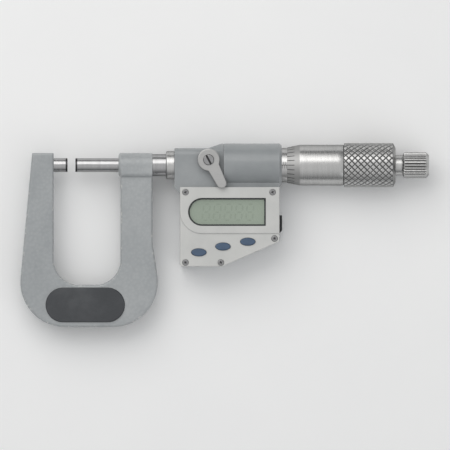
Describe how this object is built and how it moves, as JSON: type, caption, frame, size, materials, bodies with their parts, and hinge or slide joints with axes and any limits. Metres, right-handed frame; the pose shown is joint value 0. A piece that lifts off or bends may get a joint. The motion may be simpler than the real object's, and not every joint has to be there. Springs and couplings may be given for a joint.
{
  "type": "sheet metal micrometer",
  "caption": "Deep-throat U-frame micrometer for sheet, with thimble, ratchet stop, spindle lock and a side display box with window and oval buttons.",
  "frame": {"origin": "centre of the anvil's measuring face", "axes": "+X along the spindle from the anvil to the ratchet, +Y away from the throat, +Z out of the display face"},
  "size_m": [0.1945, 0.0876, 0.0231],
  "materials": {
    "frame_enamel": "satin",
    "housing_enamel": "satin",
    "cover_plastic": "matte",
    "grip_plastic": "matte",
    "satin_chrome": "satin",
    "ground_steel": "satin",
    "hard_metal": "satin",
    "window_pane": "gloss",
    "display_glass": "gloss",
    "holder_plastic": "matte",
    "strip_rubber": "matte",
    "seal_rubber": "matte",
    "button_rubber": "matte",
    "mat_rubber": "matte",
    "board_laminate": "satin",
    "chip_resin": "matte",
    "contact_brass": "satin",
    "cell_steel": "gloss",
    "dark_screw_steel": "satin",
    "spring_steel": "satin"
  },
  "bodies": {
    "instrument": {"frame": "frame_enamel", "grip_plate_front": "grip_plastic", "grip_plate_back": "grip_plastic", "anvil": "ground_steel", "anvil_tip": "hard_metal", "stem": "ground_steel", "collar_nut": "satin_chrome", "housing": "housing_enamel", "cover_gasket": "seal_rubber", "front_cover": "cover_plastic", "cover_screws": "dark_screw_steel", "display_window": "window_pane", "lcd_panel": "display_glass", "lcd_holder": "holder_plastic", "contact_strips": "strip_rubber", "circuit_board": "board_laminate", "board_chips": "chip_resin", "keypad_mat": "mat_rubber", "coin_cell": "cell_steel", "battery_contacts": "contact_brass", "data_connector": "chip_resin", "lock_plug": "contact_brass", "sleeve": "satin_chrome", "inner_sleeve": "ground_steel", "adjusting_nut": "ground_steel", "encoder_stator": "board_laminate", "stator_ring": "spring_steel", "encoder_flex": "contact_brass"},
    "rotor": {"rotor_bush": "contact_brass", "key_pin": "ground_steel", "encoder_rotor": "board_laminate"},
    "spindle": {"spindle": "ground_steel", "spindle_tip": "hard_metal", "thimble": "satin_chrome", "ratchet_stem": "satin_chrome", "ratchet_screw": "dark_screw_steel"},
    "ratchet": {"ratchet_knob": "satin_chrome", "ratchet_disc": "ground_steel", "ratchet_spring": "spring_steel"},
    "lock": {"lock_lever": "satin_chrome", "lock_stud": "ground_steel", "lock_screw": "dark_screw_steel"},
    "button_1": {"button_1": "button_rubber"},
    "button_2": {"button_2": "button_rubber"},
    "button_3": {"button_3": "button_rubber"},
    "port_cover": {"data_port_cover": "seal_rubber"},
    "battery_cap": {"battery_cap": "grip_plastic", "cap_seal": "seal_rubber"}
  },
  "joints": [
    {"name": "thimble_turn", "type": "hinge", "parent": "instrument", "child": "rotor", "pos_m": [0.074, 0, 0], "axis": [1, 0, 0], "range_deg": [-2700.5, 15300.5]},
    {"name": "spindle_feed", "type": "slide", "parent": "rotor", "child": "spindle", "axis": [1, 0, 0], "range_m": [-0.00375, 0.02125]},
    {"name": "ratchet_turn", "type": "hinge", "parent": "spindle", "child": "ratchet", "pos_m": [0.165, 0, 0], "axis": [1, 0, 0], "continuous": true},
    {"name": "lock_turn", "type": "hinge", "parent": "instrument", "child": "lock", "pos_m": [0.06721, 0.00255, 0.0105], "axis": [0, 0, 1], "range_deg": [-60, 0]},
    {"name": "button_1_press", "type": "slide", "parent": "instrument", "child": "button_1", "axis": [0, 0, -1], "range_m": [0, 0.0005], "stiffness_N_per_m": 600, "springref_m": -0.0003},
    {"name": "button_2_press", "type": "slide", "parent": "instrument", "child": "button_2", "axis": [0, 0, -1], "range_m": [0, 0.0005], "stiffness_N_per_m": 600, "springref_m": -0.0003},
    {"name": "button_3_press", "type": "slide", "parent": "instrument", "child": "button_3", "axis": [0, 0, -1], "range_m": [0, 0.0005], "stiffness_N_per_m": 600, "springref_m": -0.0003},
    {"name": "port_cover_pull", "type": "slide", "parent": "instrument", "child": "port_cover", "axis": [1, 0, 0], "range_m": [0, 0.006]},
    {"name": "battery_cap_turn", "type": "hinge", "parent": "instrument", "child": "battery_cap", "pos_m": [0.0645, -0.037, -0.0105], "axis": [0, 0, 1], "range_deg": [0, 40]}
  ],
  "couplings": [
    {"joint": "thimble_turn", "follows": "spindle_feed", "rad_per_m": 12566}
  ]
}
